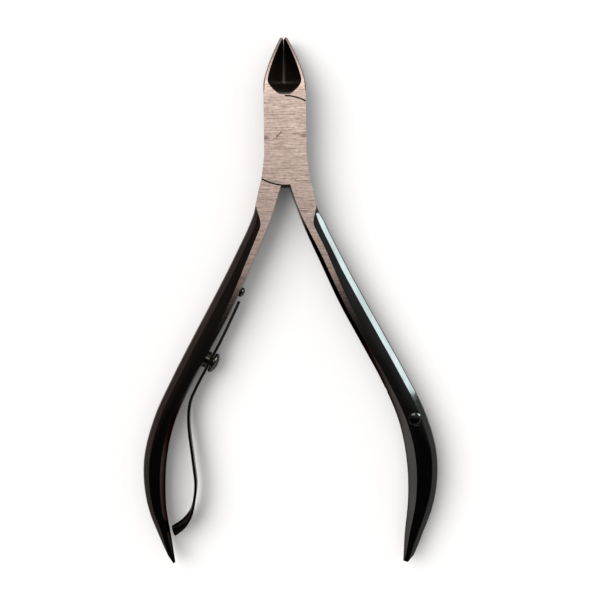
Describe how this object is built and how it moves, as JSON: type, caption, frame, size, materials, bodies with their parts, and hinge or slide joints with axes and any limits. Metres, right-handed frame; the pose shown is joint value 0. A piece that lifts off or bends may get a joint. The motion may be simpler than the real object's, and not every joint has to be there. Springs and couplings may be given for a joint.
{
  "type": "cuticle nipper",
  "caption": "Lap-joint cuticle nipper with hollow-ground pointed jaws, slim bowed handles and a swing-aside leaf spring riveted to one handle.",
  "frame": {"origin": "on the pivot axis, at the flat back face that the tool rests on", "axes": "+Y towards the jaw tips, +X towards the front half's handle, +Z along the pivot axis, out of the front face"},
  "size_m": [0.0591, 0.106, 0.007],
  "materials": {
    "forged_steel": "satin-ground flat faces with mirror-polished near-black handles",
    "rivet_steel": "ground flush with the faces",
    "polished_steel": "polished, near-black",
    "spring_steel": "polished, near-black with worn edges"
  },
  "bodies": {
    "back_body": {"back_half": "forged_steel", "pivot_rivet": "rivet_steel", "spring_rivet": "polished_steel", "spring_collar": "polished_steel", "spring_stop_pin": "polished_steel"},
    "front_body": {"front_half": "forged_steel", "handle_rivet": "polished_steel"},
    "spring_body": {"leaf_spring": "spring_steel"}
  },
  "joints": [
    {"name": "handle_pivot", "type": "hinge", "parent": "back_body", "child": "front_body", "pos_m": [0, 0, 0], "axis": [0, 0, 1], "range_deg": [0, 18]},
    {"name": "spring_swing", "type": "hinge", "parent": "back_body", "child": "spring_body", "pos_m": [-0.01645, -0.0436, 0.0035], "axis": [-0.88, 0.4749, 0], "range_deg": [0, 165]}
  ]
}
